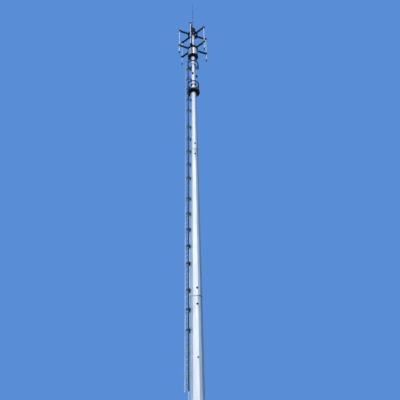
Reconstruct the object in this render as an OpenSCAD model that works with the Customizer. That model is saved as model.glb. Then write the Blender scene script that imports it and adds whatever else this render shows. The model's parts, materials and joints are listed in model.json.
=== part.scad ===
// Slim sixteen-sided steel monopole with a climbing ladder, two collar platforms
// and two six-armed antenna frames under a lightning rod.
// Millimetres. The origin is the centre of the base flange's lower face, and +Z is up.
// An azimuth is counted from -Y towards +X, so radial pieces are drawn along -Y and turned.

/* [Pole] */
// Height of the pole's top above the ground face
pole_h = 34650; // [33700:50:35600]
// Width across flats at the ground
base_w = 960; // [900:10:1020]
// Loss of width for each metre of height
taper = 19.6; // [18.6:0.1:20.4]
// Wall of the pole
pole_wall = 8; // [6:1:12]
// Height of the lower slip joint
lower_joint_z = 9120; // [8800:20:9300]
// Height of the upper slip joint
upper_joint_z = 20420; // [20200:20:20800]
// Overlap of two sections at a slip joint
joint_lap = 1200; // [900:50:1400]
// Play between two sections at a slip joint
joint_play = 0.3; // [0.2:0.1:0.5]
// Diameter of the round plate on the pole's top
top_plate_d = 470; // [420:10:520]
// Thickness of the plate on the pole's top
top_plate_t = 20; // [12:1:30]
// Distance from the pole's top down to the ring under the top plate
top_ring_drop = 380; // [300:10:450]
// Thickness of the ring under the top plate
top_ring_t = 24; // [16:1:32]
// Height of the rims on the top plate and on the ring
top_rim_h = 140; // [100:5:160]
// Thickness of the rims on the top plate and on the ring
top_rim_t = 10; // [8:1:14]

/* [Base] */
// Thickness of the base flange
flange_t = 45; // [30:1:60]
// Diameter of the opening in the base flange
flange_open_d = 700; // [500:10:800]
// Distance from the pole's flat to the anchor circle
anchor_offset = 120; // [100:5:140]
// Distance from the anchor circle to the flange's rim
anchor_edge = 80; // [70:5:100]
// Diameter of an anchor hole
anchor_hole_d = 45; // [36:1:52]
// Height of a base gusset
gusset_h = 350; // [250:10:450]
// Thickness of a base gusset
gusset_t = 14; // [10:1:20]

/* [Slip joint bosses] */
// Outer diameter of a jacking boss
boss_d = 120; // [100:2:130]
// Diameter of the blind hole in a jacking boss
boss_hole_d = 56; // [30:2:64]
// How far a jacking boss stands off the pole's corner
boss_out = 22; // [16:1:30]
// Height of the upper bosses above the joint's edge
boss_above = 455; // [400:5:600]
// Depth of the lower bosses below the joint's edge
boss_below = 535; // [400:5:600]
// Azimuth of the first jacking boss
boss_az = 16.5; // [8:0.25:20]

/* [Ladder] */
// Height of the ladder's lower end
ladder_z = 3840; // [3600:20:4200]
// Distance from the pole's top down to the ladder's upper end
ladder_drop = 4650; // [4620:10:4680]
// Distance from the pole's corner to the ladder's plane at its lower end
ladder_standoff = 145; // [135:5:160]
// Distance between the middles of the rails
ladder_w = 480; // [420:10:500]
// Depth of a rail
rail_depth = 80; // [60:2:90]
// Thickness of a rail
rail_t = 10; // [8:1:14]
// Diameter of a rung
rung_d = 25; // [20:1:30]
// Distance between rungs
rung_pitch = 300; // [290:2:302]
// Width of the bracket angle's legs
bracket_leg = 60; // [50:2:70]
// Thickness of the bracket steel
bracket_t = 10; // [8:1:12]
// Distance between the two arms of a bracket
bracket_spread = 140; // [100:5:180]
// Width of the pad that a bracket has on the pole
foot_w = 160; // [155:5:180]
// Height of the pad that a bracket has on the pole
foot_h = 240; // [200:10:250]
// Length of a splice plate
splice_l = 200; // [160:10:220]

/* [Rest platform] */
// Distance from the pole's top down to the platform's walking face
rest_drop = 8150; // [8120:10:8350]
// Gap between the platform's rim and the ladder
ladder_clear = 25; // [20:5:40]
// Distance from the platform's rim to the hand rail
rail_inset = 40; // [30:5:60]
// Height of the hand rail over the walking face
rest_rail_h = 900; // [850:10:1000]
// Thickness of a platform plate
plate_t = 8; // [6:1:12]
// Height of a platform's rim
rim_h = 100; // [80:5:120]
// Thickness of a platform's rim
rim_t = 8; // [6:1:12]
// Diameter of rails and posts
tube_d = 90; // [76:1:96]
// Wall of rails and posts
tube_wall = 5; // [4:0.5:7]
// Height of a pole collar
collar_h = 160; // [120:5:200]
// Thickness of a pole collar
collar_t = 12; // [8:1:16]
// Thickness of the platform gussets
rib_t = 10; // [8:1:14]
// Depth of the platform gussets at the pole
rib_h = 130; // [100:5:150]

/* [Guard hoop] */
// Distance from the pole's top down to the hoop's middle
hoop_drop = 4750; // [4650:50:4800]
// Length of the legs that carry the hoop
hoop_leg = 560; // [500:10:580]

/* [Upper platform] */
// Distance from the pole's top down to the platform's upper face
upper_drop = 3760; // [3700:20:3820]
// Radius of the upper platform
upper_r = 460; // [440:5:500]
// Height of the sheet screen round the upper platform
screen_h = 760; // [600:20:800]
// Thickness of the sheet screen
screen_t = 6; // [4:1:10]
// How far the sheet screen reaches below the plate
screen_below = 20; // [10:5:40]
// Width of the struts that run up outside the screen to the lower frame
strut_w = 110; // [90:2:120]
// Thickness of those struts
strut_t = 15; // [10:1:30]

/* [Antenna frames] */
// Distance from the pole's top down to the lower frame's middle
lower_arm_drop = 2780; // [2700:20:2860]
// Distance from the pole's top down to the upper frame's middle
upper_arm_drop = 770; // [700:20:840]
// Radius of the hexagon through the corners of its bar's middle line
ring_r = 450; // [420:10:500]
// Width and height of the square bar
bar_w = 120; // [110:2:130]
// Wall of the square bar
bar_wall = 5; // [4:0.5:8]
// Radius of the circle through the antenna pipes
pipe_circle_r = 1290; // [1190:10:1390]
// Diameter of an antenna pipe
pipe_d = 89; // [76:1:102]
// Wall of an antenna pipe
pipe_wall = 5; // [4:0.5:8]
// Length of pipe above the upper frame's middle
pipe_above = 180; // [140:10:260]
// Length of pipe below the lower frame's middle
pipe_below = 970; // [850:10:1080]
// Play between an antenna pipe and its saddle
saddle_play = 0.3; // [0.2:0.1:0.5]
// Steel of a saddle or clamp behind the pipe
saddle_t = 16; // [12:1:20]
// Width of a saddle or clamp beyond the pipe on each side
saddle_edge = 45; // [36:1:55]
// Height of a saddle
saddle_h = 200; // [160:5:240]
// Height of the clamp that closes on a saddle
clamp_h = 150; // [120:5:180]
// Gap between a saddle and its clamp
clamp_gap = 30; // [20:2:40]
// Height of the rubber cap on a pipe's lower end
cap_h = 150; // [100:10:200]
// Wall and floor of the rubber cap
cap_wall = 12; // [8:1:16]
// Azimuth of the frames' first arm
frame_turn = -8; // [-14:1:14]

/* [Lightning rod] */
// Height of the rod's point above the pole's top
rod_h = 4000; // [3700:50:4400]
// Diameter of the lower mast
mast_d = 76; // [60:1:90]
// Length of the lower mast above the top plate
mast_h = 1380; // [1200:10:1500]
// Diameter of the upper mast
upper_mast_d = 50; // [44:1:54]
// Height of the upper mast's end above the pole's top
upper_mast_h = 3020; // [2700:10:3200]
// Wall of both masts
mast_wall = 4; // [3:0.5:6]
// Diameter of the pointed tip
tip_d = 28; // [22:1:32]
// Length of the point
point_l = 150; // [100:10:200]
// Height of the socket that holds the lower mast
socket_h = 300; // [220:10:400]
// Wall of the socket
socket_wall = 12; // [8:1:16]
// Width of the socket's flange beyond its tube
socket_edge = 65; // [50:5:80]
// Height of the ribs on the socket
socket_rib_h = 210; // [160:10:215]

/* [Cable ports] */
// Width of a port's collar
port_w = 150; // [120:5:160]
// Height of a port's collar
port_h = 230; // [190:10:250]
// Wall of a port's collar
port_wall = 14; // [10:1:20]
// How far a port's collar stands off the pole's corner
port_out = 26; // [20:1:36]
// How far the side outlet's collar stands off the pole's corner
outlet_out = 150; // [120:5:180]

/* [Hidden] */
sides = 16;
facet = 360 / sides;
// Overshoot of a cut
over = 5;
// Play of a seat
seat = 0.3;
// Depth that welded pieces are drawn into the pole before the pole is cut out of them
sink = 30;

joint_step = 2 * (pole_wall + joint_play);
function lower_w(z) = base_w - taper * z / 1000;
function steps_at(z) = (z >= lower_joint_z ? 1 : 0) + (z >= upper_joint_z ? 1 : 0);
function pole_w(z) = lower_w(z) + joint_step * steps_at(z);
function corner_r(w) = w / 2 / cos(facet / 2);

anchor_pcd = base_w + 2 * anchor_offset;
flange_d = anchor_pcd + 2 * anchor_edge;
gusset_margin = 15;
gusset_nose = 60;
gusset_head = 40;

ladder_az = -2.75 * facet;
ladder_r = corner_r(pole_w(ladder_z)) + ladder_standoff;
ladder_top = pole_h - ladder_drop;
ladder_sections = 4;
section_l = (ladder_top - ladder_z) / ladder_sections;
rung_end = 110;
rungs = floor((section_l - 2 * rung_end) / rung_pitch) + 1;
top_rung = section_l - rung_end;
first_bracket_rung = 3;
bracket_rung_step = 4;
bracket_rungs = [first_bracket_rung:bracket_rung_step:rungs - 1];
section_gap = 2;
foot_rise = 20;
splice_edge = 5;
splice_w = rail_depth - 2 * splice_edge;

rest_z = pole_h - rest_drop;
rest_r = ladder_r - rail_depth / 2 - ladder_clear;
rail_r = rest_r - rim_t - rail_inset - tube_d / 2;
rest_rail_z = rest_z + rest_rail_h;
post_azimuths = [-90, 90, 180];
hoop_z = pole_h - hoop_drop;
hoop_foot_z = hoop_z - hoop_leg;
pad_w = 110;
pad_h = 140;
pad_t = 8;
upper_z = pole_h - upper_drop;
screen_z = upper_z - plate_t - screen_below;
rib_count = 8;
ear = 60;
ear_clear = 5;
split = 8;
ears_w = split + 2 * collar_t;

arm_count = 6;
arm_step = 360 / arm_count;
ear_turn = frame_turn + arm_step / 2;
lower_arm_z = pole_h - lower_arm_drop;
upper_arm_z = pole_h - upper_arm_drop;
ring_half = bar_w / 2 / cos(arm_step / 2);
saddle_w = pipe_d + 2 * saddle_edge;
pipe_bottom = lower_arm_z - pipe_below;
pipe_l = upper_arm_z + pipe_above - pipe_bottom;
pipe_lid_t = 6;

mast_foot_t = 14;
socket_d = mast_d + 2 * (seat + socket_wall);
socket_flange_d = socket_d + 2 * socket_edge;
mast_insert = 150;
tip_insert = 90;
point_d = 6;
top_ribs = 8;
socket_ribs = 4;
bosses = 3;

// Azimuth, distance below the pole's top, and stand-off of each port
ports = [[50, 7370, port_out], [-35, 7480, port_out], [-8, 6090, port_out],
         [52, 4980, port_out], [-48, 5280, port_out], [90, 6240, outlet_out]];
port_recess = 8;

galvanised = [0.78, 0.80, 0.82];
ladder_grey = [0.66, 0.69, 0.72];
dark_steel = [0.13, 0.14, 0.16];
black_rubber = [0.05, 0.05, 0.06];

// A tapered sixteen-sided solid with a corner on the -Y side, cut from square stock by leaning planes
module frustum(z0, z1, w0, w1) {
    h = z1 - z0;
    lean = atan((w0 - w1) / 2 / h);
    stock = 2 * corner_r(w0) + over;
    difference() {
        translate([-stock / 2, -stock / 2, z0]) cube([stock, stock, h]);
        for (i = [0:sides - 1])
            rotate([0, 0, facet * (i + 0.5)])
                translate([0, -w0 / 2, z0])
                    rotate([-lean, 0, 0])
                        translate([-stock, -stock, -stock])
                            cube([2 * stock, stock, h / cos(lean) + 2 * stock]);
    }
}

// The pole's outer body between two heights of one section, grown by a thickness
module pole_body(z0, z1, grow = 0) {
    frustum(z0, z1, pole_w(z0) + 2 * grow, pole_w(z1) + 2 * grow);
}

// One section of the pole as a shell, some slip-joint steps wider than the first
module pole_shell(z0, z1, steps) {
    step = joint_step * steps;
    difference() {
        frustum(z0, z1, lower_w(z0) + step, lower_w(z1) + step);
        frustum(z0 - over, z1 + over,
                lower_w(z0 - over) + step - 2 * pole_wall, lower_w(z1 + over) + step - 2 * pole_wall);
    }
}

module tube(d, wall, h) {
    difference() {
        cylinder(d = d, h = h, $fn = 48);
        translate([0, 0, -over]) cylinder(d = d - 2 * wall, h = h + 2 * over, $fn = 48);
    }
}

// A flat plate that stands upright and radial, drawn as [radius, height] points
module radial_plate(points, t) {
    rotate([90, 0, -90])
        translate([0, 0, -t / 2])
            linear_extrude(height = t) polygon(points);
}

module base_flange() {
    color(galvanised)
        difference() {
            cylinder(d = flange_d, h = flange_t, $fn = 96);
            translate([0, 0, -over]) cylinder(d = flange_open_d, h = flange_t + 2 * over, $fn = 96);
            for (i = [0:sides - 1])
                rotate([0, 0, facet * i])
                    translate([0, -anchor_pcd / 2, -over])
                        cylinder(d = anchor_hole_d, h = flange_t + 2 * over, $fn = 48);
        }
}

module base_gussets() {
    inner = base_w / 2 - sink;
    outer = flange_d / 2 - gusset_margin;
    top_z = flange_t + gusset_h;
    color(galvanised)
        difference() {
            for (i = [0:sides - 1])
                rotate([0, 0, facet * (i + 0.5)])
                    radial_plate([[inner, flange_t], [outer, flange_t], [outer, flange_t + gusset_nose],
                                  [base_w / 2 + gusset_head, top_z], [inner, top_z]], gusset_t);
            pole_body(0, top_z + over);
        }
}

module lower_pole_section() {
    color(galvanised) pole_shell(flange_t, lower_joint_z + joint_lap, 0);
}

module middle_pole_section() {
    color(galvanised) pole_shell(lower_joint_z, upper_joint_z + joint_lap, 1);
}

module top_pole_section() {
    color(galvanised) pole_shell(upper_joint_z, pole_h, 2);
}

// Round bosses above and below a slip joint, for the jacks that pull it tight
module joint_bosses(joint_z) {
    color(dark_steel)
        for (z = [joint_z + boss_above, joint_z - boss_below], i = [0:bosses - 1])
            rotate([0, 0, boss_az + 360 / bosses * i]) {
                face = corner_r(pole_w(z)) + boss_out;
                difference() {
                    translate([0, -face, z])
                        rotate([-90, 0, 0]) cylinder(d = boss_d, h = boss_out + sink, $fn = 48);
                    translate([0, -face - over, z])
                        rotate([-90, 0, 0]) cylinder(d = boss_hole_d, h = boss_out / 2 + over, $fn = 48);
                    rotate([0, 0, -boss_az - 360 / bosses * i]) pole_body(z - boss_d, z + boss_d);
                }
            }
}

// A prism with round ends, standing upright, that points along -Y
module upright_slot(w, h, depth) {
    rotate([90, 0, 0]) {
        translate([0, (h - w) / 2, 0]) cylinder(d = w, h = depth, $fn = 48);
        translate([0, -(h - w) / 2, 0]) cylinder(d = w, h = depth, $fn = 48);
        translate([-w / 2, -(h - w) / 2, 0]) cube([w, h - w, depth]);
    }
}

module cable_port_collars() {
    color(dark_steel)
        for (p = ports) {
            z = pole_h - p[1];
            inner = pole_w(z) / 2 - sink;
            depth = corner_r(pole_w(z)) + p[2] - inner;
            difference() {
                rotate([0, 0, p[0]])
                    translate([0, -inner, z]) upright_slot(port_w, port_h, depth);
                rotate([0, 0, p[0]])
                    translate([0, -inner + over, z])
                        upright_slot(port_w - 2 * port_wall, port_h - 2 * port_wall, depth + 2 * over);
                pole_body(z - port_h, z + port_h);
            }
        }
}

module cable_port_plugs() {
    color(black_rubber)
        for (p = ports) {
            z = pole_h - p[1];
            inner = pole_w(z) / 2 - sink;
            depth = corner_r(pole_w(z)) + p[2] - inner - port_recess;
            rim = 2 * (port_wall + seat);
            difference() {
                rotate([0, 0, p[0]])
                    translate([0, -inner, z])
                        upright_slot(port_w - rim, port_h - rim, depth);
                pole_body(z - port_h, z + port_h);
            }
        }
}

// A rimmed plate on the pole's end, and a rimmed ring below it, joined by upright ribs
module pole_top_plate() {
    ring_z = pole_h - top_ring_drop;
    inner = pole_w(pole_h) / 2 - sink;
    outer = top_plate_d / 2 - over;
    rib_foot = ring_z + top_ring_t / 2;
    rib_top = pole_h + top_plate_t / 2;
    color(dark_steel) {
        translate([0, 0, pole_h]) cylinder(d = top_plate_d, h = top_plate_t, $fn = 96);
        upright_band(pole_h + top_plate_t - top_rim_h, top_rim_h, top_plate_d / 2, top_rim_t);
        upright_band(ring_z, top_rim_h, top_plate_d / 2, top_rim_t);
        difference() {
            union() {
                translate([0, 0, ring_z]) cylinder(d = top_plate_d, h = top_ring_t, $fn = 96);
                for (i = [0:top_ribs - 1])
                    rotate([0, 0, 360 / top_ribs * i + facet / 2])
                        radial_plate([[inner, rib_foot], [outer, rib_foot],
                                      [outer, rib_top], [inner, rib_top]], rib_t);
            }
            pole_body(ring_z - over, pole_h);
        }
    }
}

module lightning_rod_socket() {
    z = pole_h + top_plate_t;
    color(galvanised)
        difference() {
            translate([0, 0, z]) {
                cylinder(d = socket_flange_d, h = mast_foot_t, $fn = 64);
                cylinder(d = socket_d, h = socket_h, $fn = 48);
                for (i = [0:socket_ribs - 1])
                    rotate([0, 0, 360 / socket_ribs * (i + 0.5)])
                        radial_plate([[mast_d / 2 + socket_wall / 2, mast_foot_t / 2],
                                      [socket_flange_d / 2 - over, mast_foot_t / 2],
                                      [socket_flange_d / 2 - over, 2 * mast_foot_t],
                                      [socket_d / 2 + over, socket_rib_h],
                                      [mast_d / 2 + socket_wall / 2, socket_rib_h]], rib_t);
            }
            translate([0, 0, z + mast_foot_t])
                cylinder(d = mast_d + 2 * seat, h = socket_h + over, $fn = 48);
        }
}

module lightning_rod_lower_mast() {
    foot_z = pole_h + top_plate_t + mast_foot_t;
    top_z = pole_h + mast_h;
    color(galvanised)
        difference() {
            translate([0, 0, foot_z]) cylinder(d = mast_d, h = top_z - foot_z, $fn = 48);
            translate([0, 0, foot_z - over])
                cylinder(d = mast_d - 2 * mast_wall, h = top_z - mast_insert - foot_z + over, $fn = 48);
            translate([0, 0, foot_z])
                cylinder(d = upper_mast_d - 2 * mast_wall, h = top_z - foot_z + over, $fn = 48);
            translate([0, 0, top_z - mast_insert + mast_wall])
                cylinder(d = upper_mast_d + 2 * seat, h = mast_insert + over, $fn = 48);
        }
}

module lightning_rod_upper_mast() {
    foot_z = pole_h + mast_h - mast_insert + mast_wall;
    top_z = pole_h + upper_mast_h;
    point_z = pole_h + rod_h - point_l;
    bore_h = top_z - tip_insert - foot_z + over;
    color(galvanised) {
        difference() {
            translate([0, 0, foot_z]) cylinder(d = upper_mast_d, h = top_z - foot_z, $fn = 48);
            translate([0, 0, foot_z - over])
                cylinder(d = upper_mast_d - 2 * mast_wall, h = bore_h, $fn = 48);
        }
        translate([0, 0, top_z - tip_insert / 2])
            cylinder(d = tip_d, h = point_z - top_z + tip_insert / 2, $fn = 32);
        translate([0, 0, point_z]) cylinder(d1 = tip_d, d2 = point_d, h = point_l, $fn = 32);
    }
}

// One length of ladder: two flat rails and the rungs between them
module ladder_section(i) {
    z = ladder_z + (i - 1) * section_l;
    rail_l = section_l - section_gap;
    color(ladder_grey)
        rotate([0, 0, ladder_az])
            translate([0, -ladder_r, z]) {
                for (side = [-1, 1])
                    translate([side * ladder_w / 2 - rail_t / 2, -rail_depth / 2, 0])
                        cube([rail_t, rail_depth, rail_l]);
                for (k = [0:rungs - 1])
                    translate([-ladder_w / 2, 0, top_rung - k * rung_pitch])
                        rotate([0, 90, 0]) cylinder(d = rung_d, h = ladder_w, $fn = 24);
            }
}

function foot_low(z) = z + bracket_leg + foot_rise - foot_h;

// An angle across the rails with two arms that run in to a pad on the pole
module ladder_bracket(z) {
    face = ladder_r - rail_depth / 2;
    root = pole_w(z) / 2 - sink;
    half = ladder_w / 2 + rail_t / 2;
    foot_z = foot_low(z);
    foot_face = corner_r(pole_w(foot_z)) + bracket_t;
    difference() {
        rotate([0, 0, ladder_az]) {
            translate([-half, -face, z]) cube([2 * half, bracket_t, bracket_leg]);
            translate([-half, -face, z]) cube([2 * half, bracket_leg, bracket_t]);
            for (side = [-1, 1])
                translate([side * bracket_spread / 2 - bracket_t / 2, -face, z])
                    cube([bracket_t, face - root, bracket_leg]);
            translate([-foot_w / 2, -foot_face, foot_z]) cube([foot_w, foot_face - root, foot_h]);
        }
        pole_body(foot_z - over, foot_z + foot_h + over);
    }
}

// Brackets between rungs, left out where a pad would sit across the edge of a slip joint
module ladder_brackets() {
    color(dark_steel)
        for (i = [0:ladder_sections - 1], k = bracket_rungs) {
            rung_z = ladder_z + i * section_l + top_rung - k * rung_pitch;
            z = rung_z + (rung_pitch - bracket_leg) / 2;
            low = foot_low(z) - over;
            if (steps_at(low) == steps_at(low + foot_h + 2 * over)) ladder_bracket(z);
        }
}

module ladder_splices() {
    color(ladder_grey)
        for (i = [1:ladder_sections - 1], side = [-1, 1])
            rotate([0, 0, ladder_az])
                translate([side * (ladder_w / 2 + rail_t / 2 + bracket_t / 2), -ladder_r,
                           ladder_z + i * section_l - section_gap / 2])
                    cube([bracket_t, splice_w, splice_l], center = true);
}

// A bar across the pole, whose ends, top and foot run past a collar's ears
module ear_bar(z0, h, turn, w, past) {
    reach = corner_r(pole_w(z0)) + collar_t + ear + past;
    rotate([0, 0, turn])
        translate([-w / 2, -reach, z0 - past]) cube([w, 2 * reach, h + 2 * past]);
}

// A sixteen-sided band on the pole, parted into two halves with bolted ears
module pole_collar(z0, h, turn) {
    difference() {
        union() {
            pole_body(z0, z0 + h, collar_t);
            ear_bar(z0, h, turn, ears_w, 0);
        }
        pole_body(z0 - over, z0 + h + over);
        ear_bar(z0, h, turn, split, over);
    }
}

// Ribs that run out under a round plate from a pole collar
module plate_ribs(z, r, turn) {
    inner = pole_w(z) / 2;
    difference() {
        for (i = [0:rib_count - 1])
            rotate([0, 0, turn + 360 / rib_count * i])
                radial_plate([[inner, z], [r, z], [r, z - rim_h / 2], [inner + collar_t, z - rib_h],
                              [inner, z - rib_h]], rib_t);
        pole_body(z - collar_h, z + over, collar_t / 2);
    }
}

module rest_platform_collar() {
    under = rest_z - plate_t;
    color(dark_steel) {
        pole_collar(under - collar_h, collar_h, 0);
        plate_ribs(under, rest_r - rim_t, facet / 2);
    }
}

// A round plate with a sixteen-sided hole for the pole
module pole_plate(z, r) {
    translate([0, 0, z - plate_t])
        difference() {
            cylinder(r = r, h = plate_t, $fn = 96);
            translate([0, 0, -over])
                linear_extrude(height = plate_t + 2 * over)
                    polygon([for (i = [0:sides - 1])
                        (corner_r(pole_w(z - plate_t)) + seat) * [cos(facet * i), sin(facet * i)]]);
        }
}

module upright_band(z, h, r, t) {
    translate([0, 0, z])
        difference() {
            cylinder(r = r, h = h, $fn = 96);
            translate([0, 0, -over]) cylinder(r = r - t, h = h + 2 * over, $fn = 96);
        }
}

module rest_platform_plate() {
    color(dark_steel) {
        pole_plate(rest_z, rest_r - rim_t / 2);
        upright_band(rest_z - plate_t - rim_h / 2, rim_h, rest_r, rim_t);
    }
}

module rest_platform_posts() {
    color(dark_steel)
        for (az = post_azimuths)
            difference() {
                rotate([0, 0, az])
                    translate([0, -rail_r, rest_z]) tube(tube_d, tube_wall, rest_rail_h);
                round_bar_ring(rest_rail_z, rail_r);
            }
}

module round_bar_ring(z, r) {
    translate([0, 0, z])
        rotate_extrude($fn = 96)
            translate([r, 0]) circle(d = tube_d, $fn = 32);
}

module rest_platform_rail() {
    color(dark_steel) round_bar_ring(rest_rail_z, rail_r);
}

module guard_hoop() {
    color(dark_steel) round_bar_ring(hoop_z, rail_r);
}

// Legs that hang from the hoop and turn in to pads on the pole
module guard_hoop_legs() {
    inner = pole_w(hoop_foot_z) / 2 - sink;
    color(dark_steel)
        for (az = post_azimuths)
            difference() {
                rotate([0, 0, az]) {
                    translate([0, -rail_r, hoop_foot_z - tube_d / 2])
                        cylinder(d = tube_d, h = hoop_leg, $fn = 32);
                    translate([0, -rail_r, hoop_foot_z])
                        rotate([-90, 0, 0]) cylinder(d = tube_d - over, h = rail_r - inner, $fn = 32);
                    translate([-pad_w / 2, -corner_r(pole_w(hoop_foot_z)) - pad_t, hoop_foot_z - pad_h / 2])
                        cube([pad_w, pad_t + sink, pad_h]);
                }
                pole_body(hoop_foot_z - pad_h, hoop_foot_z + pad_h);
                round_bar_ring(hoop_z, rail_r);
            }
}

module upper_platform_collar() {
    under = upper_z - plate_t;
    color(dark_steel) {
        pole_collar(under - collar_h, collar_h, 0);
        plate_ribs(under, upper_r - screen_t - over, facet / 2);
    }
}

module upper_platform_plate() {
    color(dark_steel) pole_plate(upper_z, upper_r - screen_t - seat);
}

module upper_platform_screen() {
    color(galvanised) upright_band(screen_z, screen_h, upper_r, screen_t);
}

// Upright struts from the screen's foot to the corners of the lower frame
module upper_platform_struts() {
    strut_h = lower_arm_z - bar_w / 2 - screen_z;
    color(dark_steel)
        difference() {
            for (i = [0:arm_count - 1])
                rotate([0, 0, frame_turn + arm_step * i])
                    translate([-strut_w / 2, -upper_r - strut_t, screen_z])
                        cube([strut_w, strut_t + sink, strut_h]);
            translate([0, 0, screen_z - over]) cylinder(r = upper_r, h = strut_h + 2 * over, $fn = 96);
        }
}

module hexagon(z, h, r) {
    translate([0, 0, z]) rotate([0, 0, frame_turn - 90]) cylinder(r = r, h = h, $fn = arm_count);
}

// A closed hexagon with spokes, all of one square bar width, about a height
module hexagon_wheel(z, w) {
    half = w / 2 / cos(arm_step / 2);
    difference() {
        hexagon(z - w / 2, w, ring_r + half);
        hexagon(z - w / 2 - over, w + 2 * over, ring_r - half);
    }
    for (i = [0:arm_count - 1])
        rotate([0, 0, frame_turn + arm_step * i])
            translate([-w / 2, -ring_r, z - w / 2]) cube([w, ring_r, w]);
}

// A hexagon of square tube with spokes that run in to the pole collar, clear of its ears
module frame_ring(z) {
    color(dark_steel)
        difference() {
            hexagon_wheel(z, bar_w);
            hexagon_wheel(z, bar_w - 2 * bar_wall);
            pole_body(z - bar_w / 2 - over, z + bar_w / 2 + over, collar_t);
            ear_bar(z - collar_h / 2, collar_h, ear_turn, ears_w + 2 * ear_clear, ear_clear);
        }
}

// A square tube from a corner of the hexagon to a saddle that takes the antenna pipe
module frame_arm(i, z) {
    low = z - bar_w / 2;
    end_r = pipe_circle_r - pipe_d / 2 - saddle_t;
    saddle_depth = pipe_circle_r - clamp_gap / 2 - end_r;
    color(dark_steel)
        difference() {
            rotate([0, 0, frame_turn + arm_step * (i - 1)]) {
                difference() {
                    translate([-bar_w / 2, -end_r - over, low])
                        cube([bar_w, end_r + over - ring_r + bar_w, bar_w]);
                    translate([-bar_w / 2 + bar_wall, -end_r, low + bar_wall])
                        cube([bar_w - 2 * bar_wall, end_r, bar_w - 2 * bar_wall]);
                }
                difference() {
                    translate([-saddle_w / 2, -end_r - saddle_depth, z - saddle_h / 2])
                        cube([saddle_w, saddle_depth, saddle_h]);
                    translate([0, -pipe_circle_r, z - saddle_h])
                        cylinder(d = pipe_d + 2 * saddle_play, h = 2 * saddle_h, $fn = 64);
                }
            }
            hexagon(low - over, bar_w + 2 * over, ring_r + ring_half);
        }
}

module frame_arms(z) {
    for (i = [1:arm_count]) frame_arm(i, z);
}

// The outer halves of the clamps that hold the pipes in the saddles
module pipe_clamps() {
    depth = pipe_d / 2 + saddle_t - clamp_gap / 2;
    color(dark_steel)
        for (i = [1:arm_count], z = [lower_arm_z, upper_arm_z])
            rotate([0, 0, frame_turn + arm_step * (i - 1)])
                difference() {
                    translate([-saddle_w / 2, -pipe_circle_r - clamp_gap / 2 - depth, z - clamp_h / 2])
                        cube([saddle_w, depth, clamp_h]);
                    translate([0, -pipe_circle_r, z - clamp_h])
                        cylinder(d = pipe_d + 2 * saddle_play, h = 2 * clamp_h, $fn = 64);
                }
}

// Rubber cups pushed on to the pipes' lower ends
module pipe_bottom_caps() {
    color(black_rubber)
        for (i = [1:arm_count])
            rotate([0, 0, frame_turn + arm_step * (i - 1)])
                translate([0, -pipe_circle_r, pipe_bottom - cap_wall])
                    difference() {
                        cylinder(d = pipe_d + 2 * cap_wall, h = cap_h, $fn = 48);
                        translate([0, 0, cap_wall]) cylinder(d = pipe_d + 2 * seat, h = cap_h, $fn = 64);
                    }
}

module antenna_pipe(i) {
    color(galvanised)
        rotate([0, 0, frame_turn + arm_step * (i - 1)])
            translate([0, -pipe_circle_r, pipe_bottom])
                difference() {
                    cylinder(d = pipe_d, h = pipe_l, $fn = 64);
                    translate([0, 0, -over])
                        cylinder(d = pipe_d - 2 * pipe_wall, h = pipe_l - pipe_lid_t + over, $fn = 64);
                }
}

module frame_collar(z) {
    color(dark_steel) pole_collar(z - collar_h / 2, collar_h, ear_turn);
}

base_flange();
base_gussets();
lower_pole_section();
middle_pole_section();
top_pole_section();
joint_bosses(lower_joint_z);  // lower_joint_bosses
joint_bosses(upper_joint_z);  // upper_joint_bosses
cable_port_collars();
cable_port_plugs();
pole_top_plate();
lightning_rod_socket();
lightning_rod_lower_mast();
lightning_rod_upper_mast();
for (i = [1:ladder_sections])
    ladder_section(i);
ladder_brackets();
ladder_splices();
rest_platform_collar();
rest_platform_plate();
rest_platform_posts();
rest_platform_rail();
guard_hoop();
guard_hoop_legs();
upper_platform_collar();
upper_platform_plate();
upper_platform_screen();
upper_platform_struts();
frame_collar(lower_arm_z);  // lower_frame_collar
frame_ring(lower_arm_z);  // lower_frame_ring
frame_arms(lower_arm_z);  // lower_frame_arms
frame_collar(upper_arm_z);  // upper_frame_collar
frame_ring(upper_arm_z);  // upper_frame_ring
frame_arms(upper_arm_z);  // upper_frame_arms
pipe_clamps();
pipe_bottom_caps();
for (i = [1:arm_count])
    antenna_pipe(i);
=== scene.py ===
"""Looks of the monopole cell tower: finishes, fasteners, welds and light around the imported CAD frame."""
import json
import math

import bmesh
import bpy
from mathutils import Matrix, Vector


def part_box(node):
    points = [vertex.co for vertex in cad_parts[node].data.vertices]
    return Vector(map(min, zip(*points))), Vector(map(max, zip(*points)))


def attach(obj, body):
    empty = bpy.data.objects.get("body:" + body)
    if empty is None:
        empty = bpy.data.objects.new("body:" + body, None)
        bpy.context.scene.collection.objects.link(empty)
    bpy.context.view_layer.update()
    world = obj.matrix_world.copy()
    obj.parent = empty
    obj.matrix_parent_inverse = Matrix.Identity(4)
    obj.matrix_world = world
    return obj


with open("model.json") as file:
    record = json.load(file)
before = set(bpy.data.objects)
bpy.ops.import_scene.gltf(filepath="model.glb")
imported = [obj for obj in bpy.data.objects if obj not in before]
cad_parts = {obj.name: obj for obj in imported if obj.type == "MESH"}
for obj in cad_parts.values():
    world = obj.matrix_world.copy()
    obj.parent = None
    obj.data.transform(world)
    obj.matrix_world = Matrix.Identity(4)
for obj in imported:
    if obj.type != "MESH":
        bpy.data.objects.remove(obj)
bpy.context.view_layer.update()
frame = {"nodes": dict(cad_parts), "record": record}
nodes = frame["nodes"]
scene = bpy.context.scene
UP = Vector((0, 0, 1))

# Lengths are in metres and angles in degrees; an azimuth is counted from -Y towards +X

# Photograph's camera
EYE_HEIGHT = 1.6
EYE_DISTANCE = 24.1
EYE_RIGHT = 0.38
PITCH_UP = 30.9
ROLL = -1.09
FOCAL_PX = 401.0
IMAGE_PX = 400.0
SENSOR_MM = 36.0
VIEW_END = 2000.0

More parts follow.
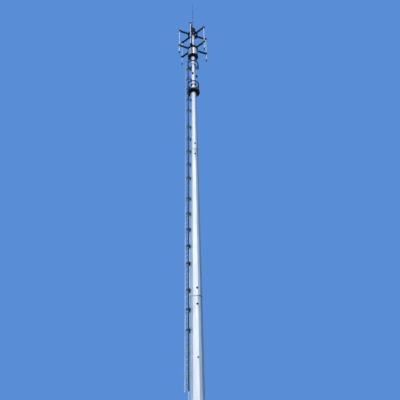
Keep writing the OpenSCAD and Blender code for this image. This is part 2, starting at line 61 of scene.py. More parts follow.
# Light, backdrop and floor
LAMPS = {
    "key": {"azimuth": 0, "elevation": 34, "energy": 1.31, "spread": 20, "colour": (1.0, 0.965, 0.93)},
    "low": {"azimuth": 0, "elevation": 6, "energy": 1.2, "spread": 20, "colour": (1.0, 0.965, 0.93)},
    "left": {"azimuth": -68, "elevation": 18, "energy": 0.40, "spread": 40, "colour": (0.62, 0.86, 1.0)},
    "right": {"azimuth": 66, "elevation": 18, "energy": 0.32, "spread": 30, "colour": (0.45, 0.75, 1.0)},
    "back": {"azimuth": 192, "elevation": 16, "energy": 1.6, "spread": 30, "colour": (1.0, 0.99, 0.97)},
}
BACKDROP = (0.10, 0.27, 0.68)
AMBIENT = (0.12, 0.16, 0.24)
# Dim cards in the world: azimuth, cosine at the outer and inner edge, strength inside
CARDS = ((132, 0.55, 0.80, 0.25), (0, 0.40, 0.54, 0.4))
FLOOR_R = 12.0
FLOOR_SIDES = 128

# Mottle of the steels: scales, shares that add up to 1, and the part of the mottle that the tones span
CLOUD_SCALE = (1.7, 1.7, 0.8)
GRAIN_SCALE = 70.0
STREAK_SHARE = 0.5
CLOUD_SHARE = 0.3
GRAIN_SHARE = 0.2
TONE_SPAN = (0.35, 0.62)
ROUGH_SPAN = (0.3, 0.65)
ROUGH_SWING = 0.08
GRAIN_STRENGTH = 0.35
GRAIN_RELIEF = 0.0008

# Stains below the slip joints: scale and span of their threads, tone in parts of the low tone, and length
THREAD_SCALE = (26.0, 26.0, 0.35)
THREAD_SPAN = (0.48, 0.68)
STAIN_TONE = 0.35
STAIN_L = 1.5

# Mottle of rubber, sealant and floor
SPOT_SPAN = (0.35, 0.65)
SPOT_STRENGTH = 0.4

# Fasteners, in parts of the thread's diameter
WASHER_R = 0.95
WASHER_T = 0.18
NUT_R = 0.87
NUT_H = 0.8
HEAD_H = 0.65
THREAD_END = ((0.48, 0), (0.48, 1.35), (0.4, 1.45))
# Profiles of a washer and a nut, in parts of their radius and height
WASHER = ((0.94, 0), (1, 0.2), (1, 0.8), (0.94, 1))
NUT = ((0.93, 0), (1, 0.12), (1, 0.86), (0.86, 1))

# Welds: ripple in parts of the radius, sides, and the slope from which a run counts as upright
RIPPLE = (0.92, 1.12)
BEAD_SIDES = 6
UPRIGHT = 0.9

# The pole
POLE_H = 34.650
BASE_W = 0.960
TAPER = 0.0196
JOINTS = (9.120, 20.420)
JOINT_STEP = 0.0166
SIDES = 16
FACET = 360 / SIDES
# Cosine from an azimuth within which a facet counts as near it
NEAR_COS = 0.5
# Weld seams along the pole
SEAM_AZIMUTHS = (168.75, -101.25)
SEAM_R = 0.0045
SEAM_STEP = 0.05
SEAM_END = 0.002

# Sealant round a slip joint
SEALANT_DROP = 0.055
SEALANT_SHOULDER = 0.012
SEALANT_RISE = 0.004
SEALANT_OUT = 0.003
JUST_BELOW = 0.001

# The base: flange, gussets and anchor studs; a profile is pairs of radius and height
FLANGE_T = 0.045
FLANGE_WELD_R = 0.008
FLANGE_WELD_LIFT = 0.003
GUSSET_TOP = 0.395
GUSSET_HALF = 0.007
GUSSET_END = 0.665
GUSSET_WELD_R = 0.006
GUSSET_WELD_LIFT = 0.002
ANCHOR_R = 0.600
STUD = ((0.021, 0.0), (0.021, 0.165), (0.017, 0.172))
STUD_D = 0.042
STUD_WASHER_R = 0.044
STUD_WASHER_T = 0.008
STUD_NUT_H = 0.036
LOCK_NUT_H = 0.024
LOCK_NUT_LIFT = 0.046

# Jacking bosses at the slip joints, and the earthing boss
BOSS_R = 0.060
BOSS_AZ = 16.5
BOSS_LIFTS = (0.455, -0.535)
BOSSES = 3
BOSS_WELD_R = 0.009
BOSS_WELD_RUNS = 84
EARTH_Z = 5.570
EARTH_SIDE = 0.030
EARTH_FACE = 0.021
EARTH_BOSS = ((0.052, -0.004), (0.052, 0.016), (0.047, EARTH_FACE), (0.030, EARTH_FACE))
EARTH_BOLT = 0.024

# Ladder
LADDER_AZ = -61.875
LADDER_R = 0.596
LADDER_Z = 3.840
LADDER_HALF = 0.240
# Inset of the edge past which the ladder's rail on the +tangent side gets painted shade
SHADE_INSET = 0.006
SECTION_L = 6.540
SECTIONS = 4
BRACKET_DROP = 0.890
BRACKET_STEP = 1.200
BRACKETS = 5
BRACKET_BOLT = 0.016
# Height below which the ladder brackets are painted pale as lit, while above it they stay dark as painted
# shade
LIT_BRACKETS_BELOW = 6.500
# Bolts in a bracket's foot on the pole and in its angle behind the rails
FOOT_DROP = 0.160
FOOT_T = 0.010
FOOT_SIDES = (-0.038, 0.038)
FOOT_LIFTS = (-0.125, 0.045)
ANGLE_SIDES = (-0.2, 0.2)
ANGLE_BACK = 0.04
ANGLE_LIFT = 0.035
# Bolts in the splices: faces of the plate and the rail from the rail's middle
SPLICE_DROP = 0.001
SPLICE_LIFTS = (-0.075, -0.03, 0.03, 0.075)
SPLICE_OUT = 0.015
SPLICE_IN = 0.005
SPLICE_BOLT = 0.014

# Rest platform, guard hoop and upper platform
REST_Z = 26.500
RAIL_R = 0.438
RAIL_Z = 27.400
HOOP_Z = 29.900
HOOP_FOOT_Z = 29.340
POST_AZIMUTHS = (-90, 90, 180)
TUBE_R = 0.045
PAD_T = 0.008
UPPER_Z = 30.890
STRUT_FACE = 0.475
STRUT_LIFTS = (0.03, 0.24, 0.45, 0.66)
STRUT_BOLT = 0.018
FRAME_WELD_R = 0.005
POST_WELD_LIFT = 0.002
RAIL_WELD_SHARE = 0.95
PAD_WELD_INSET = 0.002

# Raised bars of the platforms' tread plates
TREAD_STEP = 0.042
TREAD_L = 0.036
TREAD_W = 0.010
TREAD_H = 0.0025
TREAD_MARGIN = 0.032
TREAD_TURN = 45
# Profile in parts of a bar's half length and half width, and of its height
TREAD_BAR = ((1.0, -0.4), (1.0, 0.1), (0.82, 0.7), (0.5, 1.0))

# Antenna frames
FRAME_ZS = (31.870, 33.880)
FRAME_TURN = -8
ARMS = 6
ARM_STEP = 360 / ARMS
ARM_AZIMUTHS = tuple(FRAME_TURN + ARM_STEP * i for i in range(ARMS))
BAR_HALF = 0.060
HEX_CORNER = 0.519
HEX_SIDE = 0.485
HUB_OUT = 0.014

# Ears of the split collars: drop to a collar's lower edge, places of the bolts, half the width over both
PLATFORM_COLLAR_DROP = 0.168
FRAME_COLLAR_DROP = 0.08
EAR_OUT = 0.042
EAR_LIFTS = (0.035, 0.125)
EAR_HALF = 0.016
EAR_BOLT = 0.02
EAR_SHANK = ((0.009, 0), (0.009, 2 * EAR_HALF))

# Antenna pipes and their clamps
PIPE_CIRCLE = 1.290
PIPE_TOP = 34.060
PIPE_R = 0.0445
PIPE_CAP_DROP = 0.03
PIPE_CAP = ((PIPE_R + 0.001, 0), (PIPE_R + 0.004, 0.002), (PIPE_R + 0.004, 0.030), (PIPE_R, 0.038),
            (PIPE_R * 0.5, 0.043))
SADDLE_BACK = 1.2295
CLAMP_FRONT = 1.3505
CLAMP_SIDES = (-0.067, 0.067)
CLAMP_LIFTS = (-0.045, 0.045)
CLAMP_BOLT = 0.018
CLAMP_SHANK = ((0.008, 0), (0.008, CLAMP_FRONT - SADDLE_BACK))

# Head of the pole: heights are over its top
TOP_PLATE_T = 0.02
TOP_BOLTS = 8
TOP_BOLT_R = 0.195
TOP_BOLT = 0.02
SOCKET_FLANGE_TOP = 0.034
SOCKET_BOLTS = 4
SOCKET_BOLT_R = 0.092
SOCKET_BOLT = 0.016
SET_SCREWS = 3
SET_SCREW_AZ = 20
SET_SCREW_R = 0.0503
SET_SCREW_LIFT = 0.27
SET_SCREW = 0.012
# Collars on the two masts: height, sides and profile
MAST_COLLARS = (
    (1.34, 40, ((0.0385, 0), (0.043, 0.004), (0.043, 0.036), (0.034, 0.048))),
    (2.985, 32, ((0.0255, 0), (0.029, 0.003), (0.029, 0.028), (0.02, 0.042))),
)

# Azimuth, height and stand-off of each cable port, and the glands in it
PORTS = ((50, 27.28, 0.026), (-35, 27.17, 0.026), (-8, 28.56, 0.026),
         (52, 29.67, 0.026), (-48, 29.37, 0.026), (90, 28.41, 0.150))
PORT_RECESS = 0.008
GLAND_LIFTS = (-0.05, 0.05)
GLAND = ((0.04, 0), (0.04, 0.006), (0.036, 0.01), (0.03, 0.01), (0.027, 0.005), (0.02, 0.012), (0.01, 0.015))


def pole_w(z):
    """Width of the pole across its flats."""
    return BASE_W - TAPER * z + JOINT_STEP * sum(z >= joint for joint in JOINTS)


def corner_r(z):
    """Distance of the pole's corners from its axis."""
    return pole_w(z) / 2 / math.cos(math.radians(FACET / 2))


def circle(count):
    """Equal angles round a circle, in radians."""
    return [2 * math.pi * k / count for k in range(count)]


def axes(az):
    """Directions outwards and along the tangent at an azimuth."""
    a = math.radians(az)
    return Vector((math.sin(a), -math.cos(a), 0)), Vector((math.cos(a), math.sin(a), 0))


def spot(az, r, z, side=0.0):
    """A point at an azimuth, radius and height, moved sideways along the tangent."""
    out, tangent = axes(az)
    return out * r + tangent * side + UP * z


def on_pole(az, z, side):
    """A point on the pole's facets, beside the line at an azimuth."""
    out, tangent = axes(az)
    normals = [axes(FACET * (i + 0.5))[0] for i in range(SIDES)]
    near = [n for n in normals if out.dot(n) > NEAR_COS]
    reach = min((pole_w(z) / 2 - side * tangent.dot(n)) / out.dot(n) for n in near)
    return spot(az, reach, z, side)


def facing(az, r, z, side=0.0):
    """A place whose Z points outwards and whose Y points up."""
    out, tangent = axes(az)
    return Matrix.Translation(spot(az, r, z, side)) @ Matrix((tangent, UP, out)).transposed().to_4x4()


def level(az, r, z, side=0.0):
    """A place whose Z points up and whose X runs along the tangent."""
    out, tangent = axes(az)
    return Matrix.Translation(spot(az, r, z, side)) @ Matrix((tangent, -out, UP)).transposed().to_4x4()


def across(az, r, z, side=0.0, sense=1):
    """A place whose Z runs along the tangent, or against it."""
    out, tangent = axes(az)
    turn = Matrix((out, -UP * sense, tangent * sense)).transposed().to_4x4()
    return Matrix.Translation(spot(az, r, z, side)) @ turn


def shader_node(tree, kind, inputs=None, **settings):
    """A new node, with its inputs linked to sockets or set to values."""
    made = tree.nodes.new("ShaderNode" + kind)
    for key, value in settings.items():
        setattr(made, key, value)
    for key, value in (inputs or {}).items():
        if isinstance(value, bpy.types.NodeSocket):
            tree.links.new(value, made.inputs[key])
        else:
            made.inputs[key].default_value = value
    return made


def math_node(tree, operation, a, b):
    return shader_node(tree, "Math", {0: a, 1: b}, operation=operation).outputs[0]


def spread(tree, value, low, high, to_low=0.0, to_high=1.0):
    """A value mapped from one range to another and held at its ends."""
    return shader_node(tree, "MapRange", {0: value, 1: low, 2: high, 3: to_low, 4: to_high}).outputs[0]


def blend(tree, factor, a, b):
    """A mix of two colours."""
    return shader_node(tree, "Mix", {0: factor, 6: a, 7: b}, data_type="RGBA").outputs[2]


def noise(tree, coords, scale, detail):
    vector = shader_node(tree, "Mapping", {"Vector": coords, "Scale": scale}).outputs[0]
    return shader_node(tree, "TexNoise", {"Vector": vector, "Scale": 1.0, "Detail": detail}).outputs[0]


def along(tree, coords, direction):
    """How far the coordinates reach in a direction."""
    dot = shader_node(tree, "VectorMath", {0: coords, 1: direction}, operation="DOT_PRODUCT")
    return dot.outputs["Value"]


def start_material(name):
    mat = bpy.data.materials.new(name)
    mat.use_nodes = True
    tree = mat.node_tree
    coords = shader_node(tree, "TexCoord").outputs["Object"]
    return mat, tree, tree.nodes["Principled BSDF"], coords


def add_bump(tree, shader, height, strength, relief):
    bump = shader_node(tree, "Bump", {"Strength": strength, "Distance": relief, "Height": height})
    tree.links.new(bump.outputs[0], shader.inputs["Normal"])


def weathered(name, low, high, metallic, rough, streak=18.0, run=0.5, gloss=0.5, stains=(), shade=None):
    """Steel mottled by upright streaks, wide clouds and fine grain.

    Stains are pairs of the height they run down from and their length. Shade is painted light and shade: a
    direction, an edge and the one tone of all that lies past that edge.
    """
    mat, tree, shader, coords = start_material(name)
    streaks = noise(tree, coords, (streak, streak, run), detail=4.0)
    clouds = noise(tree, coords, CLOUD_SCALE, detail=2.0)
    cells = shader_node(tree, "TexVoronoi", {"Vector": coords, "Scale": GRAIN_SCALE}).outputs[1]
    grain = shader_node(tree, "RGBToBW", {0: cells}).outputs[0]
    mottle = math_node(tree, "MULTIPLY", streaks, STREAK_SHARE)
    mottle = math_node(tree, "ADD", mottle, math_node(tree, "MULTIPLY", clouds, CLOUD_SHARE))
    mottle = math_node(tree, "ADD", mottle, math_node(tree, "MULTIPLY", grain, GRAIN_SHARE))
    colour = blend(tree, spread(tree, mottle, *TONE_SPAN), (*low, 1), (*high, 1))
    for top, length in stains:
        height = along(tree, coords, UP)
        below = math_node(tree, "LESS_THAN", height, top)
        run_down = math_node(tree, "MULTIPLY", spread(tree, height, top - length, top), below)
        thread = spread(tree, noise(tree, coords, THREAD_SCALE, detail=2.0), *THREAD_SPAN)
        stain = math_node(tree, "MULTIPLY", run_down, thread)
        colour = blend(tree, stain, colour, (*(STAIN_TONE * c for c in low), 1))
    # Painted light and shade: one flat tone past an edge in a direction
    if shade:
        direction, edge, tone = shade
        past = math_node(tree, "GREATER_THAN", along(tree, coords, direction), edge)
        colour = blend(tree, past, colour, (*tone, 1))
    tree.links.new(colour, shader.inputs["Base Color"])
    shader.inputs["Metallic"].default_value = metallic
    shader.inputs["Specular IOR Level"].default_value = gloss
    roughness = spread(tree, mottle, *ROUGH_SPAN, rough + ROUGH_SWING, rough - ROUGH_SWING)
    tree.links.new(roughness, shader.inputs["Roughness"])
    add_bump(tree, shader, grain, GRAIN_STRENGTH, GRAIN_RELIEF)
    return mat


def mottled(name, low, high, rough, scale, relief, shaded_side=None):
    """Matt rubber, sealant or paint with a soft mottle, and painted shade darkening one side."""
    mat, tree, shader, coords = start_material(name)
    spots = noise(tree, coords, (scale, scale, scale), detail=4.0)
    colour = blend(tree, spread(tree, spots, *SPOT_SPAN), (*low, 1), (*high, 1))
    # Painted shade: darker towards one side, from start to end along the direction
    if shaded_side:
        direction, start, end, tone = shaded_side
        side_shade = spread(tree, along(tree, coords, direction), start, end)
        colour = blend(tree, side_shade, colour, (*tone, 1))
    tree.links.new(colour, shader.inputs["Base Color"])
    shader.inputs["Roughness"].default_value = rough
    add_bump(tree, shader, spots, SPOT_STRENGTH, relief)
    return mat


class Piece:
    """A joined mesh of small solids that rides on the tower."""

    def __init__(self, name, material, slot):
        self.name = name
        self.material = material
        self.slot = slot
        self.verts = []
        self.faces = []

    def loft(self, rings, closed=False):
        """A skin over rings of points, capped at both ends or closed to a loop."""
        start = len(self.verts)
        count = len(rings)
        size = len(rings[0])
        for ring in rings:
            self.verts.extend(ring)
        for i in range(count if closed else count - 1):
            a = start + i * size
            b = start + (i + 1) % count * size
            for k in range(size):
                m = (k + 1) % size
                self.faces.append((a + k, a + m, b + m, b + k))
        if not closed:
            last = start + (count - 1) * size
            self.faces.append(tuple(start + k for k in reversed(range(size))))
            self.faces.append(tuple(last + k for k in range(size)))

    def turned(self, place, profile, sides):
        """A round or many-sided solid from pairs of radius and height along the place's Z."""
        self.loft([[place @ Vector((r * math.cos(t), r * math.sin(t), h)) for t in circle(sides)]
                   for r, h in profile])

    def washer(self, place, r, t):
        self.turned(place, [(r * a, t * b) for a, b in WASHER], sides=20)

    def nut(self, place, d, h, base=0.0):
        r = d * NUT_R
        self.turned(place, [(r * a, base + h * b) for a, b in NUT], sides=6)

    def bolt(self, place, d):
        """A hexagon head on its washer."""
        self.washer(place, d * WASHER_R, d * WASHER_T)
        self.nut(place, d, d * HEAD_H, d * WASHER_T)

    def nut_end(self, place, d):
        """A nut on its washer, with the thread's end standing out."""
        self.washer(place, d * WASHER_R, d * WASHER_T)
        self.nut(place, d, d * NUT_H, d * WASHER_T)
        self.turned(place, [(d * a, d * b) for a, b in THREAD_END], sides=14)

    def bead(self, points, r, closed=False, step=0.012):
        """A rippled weld along straight runs between points."""
        ends = points[1:] + points[:1] if closed else points[1:]
        for a, b in zip(points, ends):
            run = (b - a).normalized()
            side = run.cross(UP if abs(run.z) < UPRIGHT else Vector((1, 0, 0))).normalized()
            lift = run.cross(side)
            count = max(2, round((b - a).length / step))
            rings = []
            for i in range(count + 1):
                swell = r * RIPPLE[i % 2]
                centre = a.lerp(b, i / count)
                rings.append([centre + side * swell * math.cos(t) + lift * swell * math.sin(t)
                              for t in circle(BEAD_SIDES)])
            self.loft(rings)

    def hoop_bead(self, place, ring_r, r, count=40):
        """A rippled weld round a tube."""
        rings = []
        for i, t in enumerate(circle(count)):
            swell = r * RIPPLE[i % 2]
            ring = []
            for p in circle(BEAD_SIDES):
                reach = ring_r + swell * math.cos(p)
                ring.append(place @ Vector((reach * math.cos(t), reach * math.sin(t), swell * math.sin(p))))
            rings.append(ring)
        self.loft(rings, closed=True)

    def done(self):
        """Makes the object, with its faces turned outwards."""
        mesh = bpy.data.meshes.new(self.name)
        mesh.from_pydata(self.verts, [], self.faces)
        work = bmesh.new()
        work.from_mesh(mesh)
        bmesh.ops.recalc_face_normals(work, faces=work.faces)
        work.to_mesh(mesh)
        work.free()
        mesh.materials.append(self.material)
        obj = bpy.data.objects.new(self.name, mesh)
        scene.collection.objects.link(obj)
        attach(obj, "root")


def base_pieces(zinc, pole_steel):
    studs = Piece("anchor_studs", zinc, "galvanised_steel")
    for i in range(SIDES):
        studs.turned(level(FACET * i, ANCHOR_R, 0.0), STUD, sides=20)
        seat = level(FACET * i, ANCHOR_R, FLANGE_T)
        studs.washer(seat, STUD_WASHER_R, STUD_WASHER_T)
        studs.nut(seat, STUD_D, STUD_NUT_H, STUD_WASHER_T)
        studs.nut(seat, STUD_D, LOCK_NUT_H, LOCK_NUT_LIFT)
    studs.done()
    welds = Piece("base_welds", pole_steel, "galvanised_steel")
    ring = [spot(FACET * i, corner_r(FLANGE_T), FLANGE_T + FLANGE_WELD_LIFT) for i in range(SIDES)]
    welds.bead(ring, FLANGE_WELD_R, closed=True)
    foot = FLANGE_T + GUSSET_WELD_LIFT
    for i in range(SIDES):
        az = FACET * (i + 0.5)
        for side in (-GUSSET_HALF, GUSSET_HALF):
            welds.bead([spot(az, r, foot, side) for r in (BASE_W / 2, GUSSET_END)], GUSSET_WELD_R)
            welds.bead([spot(az, pole_w(z) / 2, z, side) for z in (FLANGE_T, GUSSET_TOP)], GUSSET_WELD_R)
    welds.done()


def pole_pieces(pole_steel, sealant, dark_steel, dark_bolt):
    seams = Piece("pole_seams", pole_steel, "galvanised_steel")
    ends = (FLANGE_T,) + JOINTS + (POLE_H,)
    for low, high in zip(ends, ends[1:]):
        for az in SEAM_AZIMUTHS:
            line = [spot(az, pole_w(z) / 2, z) for z in (low, high - SEAM_END)]
            seams.bead(line, SEAM_R, step=SEAM_STEP)
    seams.done()
    bands = Piece("joint_sealant", sealant, "port_rubber")
    for joint in JOINTS:
        foot = joint - SEALANT_DROP
        outer = corner_r(joint) + SEALANT_OUT
        profile = ((corner_r(foot), foot), (outer, joint - SEALANT_SHOULDER), (outer, joint + SEALANT_RISE),
                   (corner_r(joint - JUST_BELOW), joint))
        bands.loft([[spot(FACET * i, r, z) for r, z in profile] for i in range(SIDES)], closed=True)
    bands.done()
    welds = Piece("boss_welds", dark_steel, "dark_steel")
    turns = circle(BOSS_WELD_RUNS)
    for z in (joint + lift for joint in JOINTS for lift in BOSS_LIFTS):
        for i in range(BOSSES):
            az = BOSS_AZ + 360 / BOSSES * i
            ring = [on_pole(az, z + BOSS_R * math.sin(t), BOSS_R * math.cos(t)) for t in turns]
            welds.bead(ring, BOSS_WELD_R, closed=True)
    welds.done()
    boss = Piece("earth_boss", dark_bolt, "dark_steel")
    seat = facing(FACET / 2, pole_w(EARTH_Z) / 2, EARTH_Z, EARTH_SIDE)
    boss.turned(seat, EARTH_BOSS, sides=36)
    boss.bolt(seat @ Matrix.Translation((0, 0, EARTH_FACE)), EARTH_BOLT)
    boss.done()


def ladder_pieces(zinc):
    bolts = Piece("ladder_bolts", zinc, "ladder_steel")
    for i in range(SECTIONS):
        top = LADDER_Z + SECTION_L * (i + 1)
        for k in range(BRACKETS):
            z = top - BRACKET_DROP - BRACKET_STEP * k
            face = corner_r(z - FOOT_DROP) + FOOT_T
            for side in FOOT_SIDES:
                for lift in FOOT_LIFTS:
                    bolts.bolt(facing(LADDER_AZ, face, z + lift, side), BRACKET_BOLT)
            for side in ANGLE_SIDES:
                bolts.bolt(facing(LADDER_AZ, LADDER_R - ANGLE_BACK, z + ANGLE_LIFT, side), BRACKET_BOLT)
    for i in range(1, SECTIONS):
        z = LADDER_Z + SECTION_L * i - SPLICE_DROP
        for lift in SPLICE_LIFTS:
            for sense in (-1, 1):
                outer = sense * (LADDER_HALF + SPLICE_OUT)
                inner = sense * (LADDER_HALF - SPLICE_IN)
                bolts.bolt(across(LADDER_AZ, LADDER_R, z + lift, outer, sense), SPLICE_BOLT)
                bolts.nut_end(across(LADDER_AZ, LADDER_R, z + lift, inner, -sense), SPLICE_BOLT)
    bolts.done()


def platform_pieces(dark_bolt, dark_steel):
    bolts = Piece("collar_bolts", dark_bolt, "dark_steel")
    collars = [(z - PLATFORM_COLLAR_DROP, 0) for z in (REST_Z, UPPER_Z)]
    collars += [(z - FRAME_COLLAR_DROP, FRAME_TURN + ARM_STEP / 2) for z in FRAME_ZS]
    for low, turn in collars:
        r = corner_r(low) + EAR_OUT
        for az in (turn, turn + 180):
            for lift in EAR_LIFTS:
                bolts.bolt(across(az, r, low + lift, EAR_HALF, 1), EAR_BOLT)
                bolts.nut_end(across(az, r, low + lift, -EAR_HALF, -1), EAR_BOLT)
                bolts.turned(across(az, r, low + lift, -EAR_HALF, 1), EAR_SHANK, sides=12)
    for az in ARM_AZIMUTHS:
        for lift in STRUT_LIFTS:
            bolts.bolt(facing(az, STRUT_FACE, UPPER_Z + lift), STRUT_BOLT)
    bolts.done()
    welds = Piece("platform_welds", dark_steel, "dark_steel")
    for az in POST_AZIMUTHS:
        welds.hoop_bead(level(az, RAIL_R, REST_Z + POST_WELD_LIFT), TUBE_R, FRAME_WELD_R)
        for z in (RAIL_Z, HOOP_Z):
            welds.hoop_bead(level(az, RAIL_R, z - TUBE_R), TUBE_R * RAIL_WELD_SHARE, FRAME_WELD_R)
        pad_face = corner_r(HOOP_FOOT_Z) + PAD_T
        welds.hoop_bead(facing(az, pad_face, HOOP_FOOT_Z), TUBE_R - PAD_WELD_INSET, FRAME_WELD_R)
    # Weld loops as triples of side and lift, in parts of a bar's half width, and radius
    corner = ((-1, 1, HEX_SIDE), (0, 1, HEX_CORNER), (1, 1, HEX_SIDE),
              (1, -1, HEX_SIDE), (0, -1, HEX_CORNER), (-1, -1, HEX_SIDE))
    square = ((-1, 1), (1, 1), (1, -1), (-1, -1))
    for z in FRAME_ZS:
        hub = pole_w(z) / 2 + HUB_OUT
        loops = [corner] + [[(s, v, r) for s, v in square] for r in (SADDLE_BACK, hub)]
        for az in ARM_AZIMUTHS:
            for loop in loops:
                points = [spot(az, r, z + v * BAR_HALF, s * BAR_HALF) for s, v, r in loop]
                welds.bead(points, FRAME_WELD_R, closed=True)
    welds.done()


def tread_pieces(dark_bolt):
    bars = Piece("tread_bars", dark_bolt, "dark_steel")
    posts = [spot(az, RAIL_R, REST_Z) for az in POST_AZIMUTHS]
    shape = Matrix.Diagonal((TREAD_L / 2, TREAD_W / 2, TREAD_H, 1))
    for name, z in (("rest_platform_plate", REST_Z), ("upper_platform_plate", UPPER_Z)):
        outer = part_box(name)[1][0] - TREAD_MARGIN
        inner = corner_r(z) + TREAD_MARGIN
        reach = math.floor(outer / TREAD_STEP)
        for i in range(-reach, reach + 1):
            for k in range(-reach, reach + 1):
                centre = Vector((i * TREAD_STEP, k * TREAD_STEP, z))
                on_plate = inner < centre.xy.length < outer
                if on_plate and all((centre - post).length > TUBE_R + TREAD_MARGIN for post in posts):
                    angle = math.radians(TREAD_TURN if (i + k) % 2 else -TREAD_TURN)
                    place = Matrix.Translation(centre) @ Matrix.Rotation(angle, 4, "Z") @ shape
                    bars.turned(place, TREAD_BAR, sides=12)
    bars.done()


def clamp_pieces(dark_bolt, zinc):
    bolts = Piece("clamp_bolts", dark_bolt, "dark_steel")
    caps = Piece("pipe_top_caps", zinc, "galvanised_steel")
    for az in ARM_AZIMUTHS:
        for z in FRAME_ZS:
            for side in CLAMP_SIDES:
                for lift in CLAMP_LIFTS:
                    bolts.bolt(facing(az, CLAMP_FRONT, z + lift, side), CLAMP_BOLT)
                    back = facing(az, SADDLE_BACK, z + lift, side)
                    bolts.turned(back, CLAMP_SHANK, sides=10)
                    bolts.nut_end(back @ Matrix.Rotation(math.pi, 4, "X"), CLAMP_BOLT)
        caps.turned(level(az, PIPE_CIRCLE, PIPE_TOP - PIPE_CAP_DROP), PIPE_CAP, sides=40)
    bolts.done()
    caps.done()


def head_pieces(zinc, dark_bolt, rubber):
    rod = Piece("rod_fasteners", zinc, "rod_steel")
    for i in range(SOCKET_BOLTS):
        rod.bolt(level(360 / SOCKET_BOLTS * i, SOCKET_BOLT_R, POLE_H + SOCKET_FLANGE_TOP), SOCKET_BOLT)
    for i in range(SET_SCREWS):
        az = 360 / SET_SCREWS * i + SET_SCREW_AZ
        rod.bolt(facing(az, SET_SCREW_R, POLE_H + SET_SCREW_LIFT), SET_SCREW)
    for lift, sides, profile in MAST_COLLARS:
        rod.turned(level(0, 0, POLE_H + lift), profile, sides)
    rod.done()
    top = Piece("top_plate_bolts", dark_bolt, "dark_steel")
    for i in range(TOP_BOLTS):
        top.bolt(level(360 / TOP_BOLTS * i, TOP_BOLT_R, POLE_H + TOP_PLATE_T), TOP_BOLT)
    top.done()
    glands = Piece("port_glands", rubber, "port_rubber")
    for az, z, out in PORTS:
        face = corner_r(z) + out - PORT_RECESS
        for lift in GLAND_LIFTS:
            glands.turned(facing(az, face, z + lift), GLAND, sides=28)
    glands.done()


def make_floor(material):
    bpy.ops.mesh.primitive_circle_add(vertices=FLOOR_SIDES, radius=FLOOR_R, fill_type="NGON")
    floor = bpy.context.object
    floor.name = "floor"
    floor.data.materials.append(material)


def make_light():
    world = bpy.data.worlds.new("studio")
    scene.world = world
    world.use_nodes = True
    tree = world.node_tree
    path = shader_node(tree, "LightPath").outputs
    seen = math_node(tree, "MAXIMUM", path["Is Camera Ray"], path["Is Glossy Ray"])
    seen = math_node(tree, "MAXIMUM", seen, path["Is Transmission Ray"])
    towards = shader_node(tree, "TexCoord").outputs["Generated"]
    cards = 1.0
    for azimuth, outer, inner, strength in CARDS:
        card = spread(tree, along(tree, towards, axes(azimuth)[0]), outer, inner, 1.0, strength)
        cards = math_node(tree, "MULTIPLY", cards, card)
    lit = math_node(tree, "MAXIMUM", cards, path["Is Camera Ray"])
    colour = blend(tree, seen, (*AMBIENT, 1), (*BACKDROP, 1))
    tree.links.new(colour, tree.nodes["Background"].inputs["Color"])
    tree.links.new(lit, tree.nodes["Background"].inputs["Strength"])
    for name, lamp in LAMPS.items():
        data = bpy.data.lights.new(name, "SUN")
        data.energy = lamp["energy"]
        data.angle = math.radians(lamp["spread"])
        data.color = lamp["colour"]
        sun = bpy.data.objects.new(name, data)
        rise = math.radians(lamp["elevation"])
        source = axes(lamp["azimuth"])[0] * math.cos(rise) + UP * math.sin(rise)
        sun.rotation_euler = source.to_track_quat("Z", "Y").to_euler()
        scene.collection.objects.link(sun)


def make_camera():
    data = bpy.data.cameras.new("photo_camera")
    data.sensor_width = SENSOR_MM
    data.lens = SENSOR_MM * FOCAL_PX / IMAGE_PX
    data.clip_end = VIEW_END
    camera = bpy.data.objects.new("photo_camera", data)
    scene.collection.objects.link(camera)
    pitch = Matrix.Rotation(math.radians(90 + PITCH_UP), 4, "X")
    roll = Matrix.Rotation(math.radians(ROLL), 4, "Z")
    camera.matrix_world = Matrix.Translation((EYE_RIGHT, -EYE_DISTANCE, EYE_HEIGHT)) @ (pitch @ roll)
    scene.camera = camera


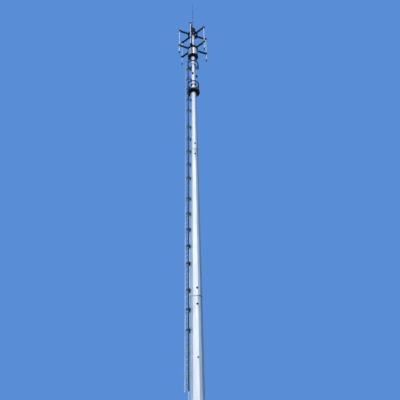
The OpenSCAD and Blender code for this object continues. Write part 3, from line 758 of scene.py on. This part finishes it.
# Finishes: low and high tone, metallic and roughness of a steel; roughness, scale and relief of the others
DARK_TONES = ((0.014, 0.015, 0.018), (0.035, 0.037, 0.042))
# Painted shade: the one dark tone of the ladder's rail on its +tangent side
NEAR_RAIL_PAINTED_SHADE = (0.05, 0.055, 0.07)
# Painted light: the pale tone of the ladder brackets below that height
LIT_BRACKET_TONE = (0.46, 0.54, 0.62)
# Painted shade on the sealant's side towards azimuth 80
SIDE_PAINTED_SHADE = (axes(80)[0], 0.17, 0.30, (0.03, 0.035, 0.045))
pole_steel = weathered("galvanised_pole", (0.57, 0.625, 0.65), (0.75, 0.765, 0.75), 0.95, 0.53,
                       stains=[(joint, STAIN_L) for joint in JOINTS])
pipe_steel = weathered("galvanised_pipe", (0.56, 0.64, 0.72), (0.68, 0.75, 0.82), 0.6, 0.45)
# Ladder steel with painted shade: the rail on the +tangent side is painted dark
ladder_steel = weathered("ladder_steel", (0.48, 0.56, 0.64), (0.60, 0.68, 0.76), 0.55, 0.5, streak=30.0,
                         shade=(axes(LADDER_AZ)[1], LADDER_HALF - SHADE_INSET, NEAR_RAIL_PAINTED_SHADE))
dark_steel = weathered("dark_steel", *DARK_TONES, 0.0, 0.7, streak=12.0, run=3.0, gloss=0.2)
# Lit and shaded copies of the brackets' steel: painted pale as lit below that height, dark as painted shade
# above
bracket_lit_and_shaded = weathered("bracket_lit_and_shaded", *DARK_TONES, 0.0, 0.7, gloss=0.2,
                          shade=(-UP, -LIT_BRACKETS_BELOW, LIT_BRACKET_TONE))
grip_steel = weathered("grip_plate", (0.016, 0.017, 0.020), (0.05, 0.053, 0.06), 0.25, 0.6)
rod_steel = weathered("rod_steel", (0.11, 0.14, 0.18), (0.17, 0.20, 0.25), 0.9, 0.4)
zinc = weathered("zinc_fastener", (0.40, 0.41, 0.42), (0.56, 0.57, 0.58), 0.6, 0.42,
                 streak=60.0, run=60.0)
dark_bolt = weathered("dark_fastener", (0.03, 0.032, 0.036), (0.075, 0.078, 0.085), 0.35, 0.5,
                      streak=60.0, run=60.0)
rubber = mottled("port_rubber", (0.006, 0.006, 0.007), (0.014, 0.014, 0.016), 0.75, 60.0, 0.0006)
# Sealant with painted shade on its side towards azimuth 80
sealant = mottled("joint_sealant", (0.40, 0.41, 0.42), (0.50, 0.51, 0.52), 0.8, 40.0, 0.002, shaded_side=SIDE_PAINTED_SHADE)
floor_paint = mottled("floor_paint", (0.76, 0.77, 0.78), (0.80, 0.81, 0.82), 0.9, 3.0, 0.0005)

by_slot = {"galvanised_steel": pole_steel, "ladder_steel": ladder_steel, "dark_steel": dark_steel,
           "rod_steel": rod_steel, "port_rubber": rubber}
slot_of = {part["node"]: part["material_slot"] for part in frame["record"]["subparts"]}
for name, obj in nodes.items():
    material = by_slot[slot_of[name]]
    if name.startswith("antenna_pipe"):
        material = pipe_steel
    elif name == "ladder_brackets":
        material = bracket_lit_and_shaded
    elif name in ("rest_platform_plate", "upper_platform_plate"):
        material = grip_steel
    obj.data.materials.clear()
    obj.data.materials.append(material)

base_pieces(zinc, pole_steel)
pole_pieces(pole_steel, sealant, dark_steel, dark_bolt)
ladder_pieces(zinc)
platform_pieces(dark_bolt, dark_steel)
tread_pieces(dark_bolt)
clamp_pieces(dark_bolt, zinc)
head_pieces(zinc, dark_bolt, rubber)
make_floor(floor_paint)
make_light()
make_camera()
scene.view_settings.view_transform = "Standard"
